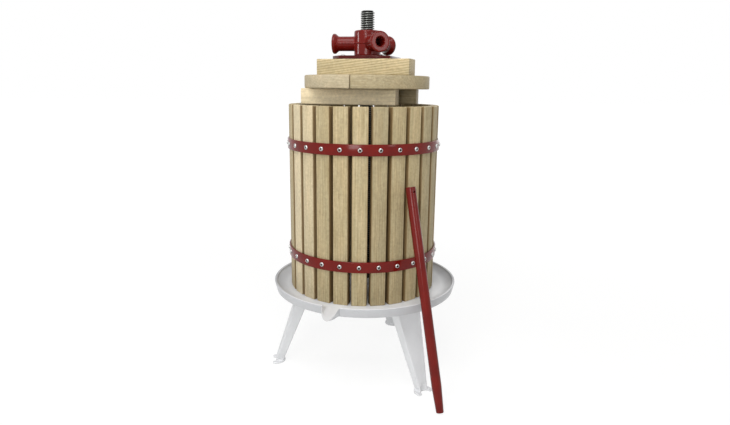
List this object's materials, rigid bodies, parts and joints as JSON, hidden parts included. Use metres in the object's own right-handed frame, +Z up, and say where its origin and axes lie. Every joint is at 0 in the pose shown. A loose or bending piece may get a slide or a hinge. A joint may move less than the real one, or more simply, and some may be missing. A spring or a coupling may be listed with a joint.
{
  "type": "fruit press",
  "caption": "Hand fruit press: slatted oak basket with steel hoops in a footed juice tray, fixed centre screw, turning head with lever sockets, pressure plate, blocks and half-moon boards.",
  "frame": {"origin": "on the floor under the screw's axis, in the plane of the three feet", "axes": "+Z up along the press screw, -Y towards the side with the pouring spout"},
  "size_m": [0.3758, 0.4118, 0.698],
  "materials": {
    "oak_slats": "planed, unvarnished",
    "oak_blocks": "planed, unvarnished",
    "red_paint": "gloss",
    "white_paint": "satin",
    "zinc_steel": "zinc plated",
    "screw_steel": "oiled, machined"
  },
  "bodies": {
    "base": {"tray": "white_paint", "left_leg": "white_paint", "front_leg": "white_paint", "rear_leg": "white_paint", "leg_bolts": "zinc_steel", "leg_washers": "zinc_steel", "leg_nuts": "zinc_steel", "press_screw": "screw_steel", "screw_washer": "zinc_steel", "screw_nut": "zinc_steel"},
    "press_stack": {"lower_front_block": "oak_blocks", "lower_rear_block": "oak_blocks", "left_board": "oak_blocks", "right_board": "oak_blocks", "upper_front_block": "oak_blocks", "upper_rear_block": "oak_blocks", "pressure_plate": "red_paint", "plate_screws": "zinc_steel"},
    "press_head": {"press_head": "red_paint"},
    "basket": {"slat_01": "oak_slats", "slat_02": "oak_slats", "slat_03": "oak_slats", "slat_04": "oak_slats", "slat_05": "oak_slats", "slat_06": "oak_slats", "slat_07": "oak_slats", "slat_08": "oak_slats", "slat_09": "oak_slats", "slat_10": "oak_slats", "slat_11": "oak_slats", "slat_12": "oak_slats", "slat_13": "oak_slats", "slat_14": "oak_slats", "slat_15": "oak_slats", "slat_16": "oak_slats", "slat_17": "oak_slats", "slat_18": "oak_slats", "slat_19": "oak_slats", "slat_20": "oak_slats", "slat_21": "oak_slats", "slat_22": "oak_slats", "slat_23": "oak_slats", "slat_24": "oak_slats", "slat_25": "oak_slats", "slat_26": "oak_slats", "lower_hoop": "red_paint", "upper_hoop": "red_paint", "lower_hoop_screws": "zinc_steel", "upper_hoop_screws": "zinc_steel"},
    "handle": {"handle": "red_paint"}
  },
  "joints": [
    {"name": "press_travel", "type": "slide", "parent": "base", "child": "press_stack", "axis": [0, 0, -1], "range_m": [0, 0.104]},
    {"name": "head_turn", "type": "hinge", "parent": "press_stack", "child": "press_head", "pos_m": [0, 0, 0.6393], "axis": [0, 0, -1], "range_deg": [0, 9360]},
    {"name": "basket_lift", "type": "slide", "parent": "base", "child": "basket", "axis": [0, 0, 1], "range_m": [0, 0.09]},
    {"name": "handle_away", "type": "slide", "parent": "base", "child": "handle", "axis": [0.433, -0.75, 0.5], "range_m": [0, 0.25]}
  ],
  "couplings": [
    {"joint": "press_travel", "follows": "head_turn", "m_per_rad": 0.00063662}
  ]
}
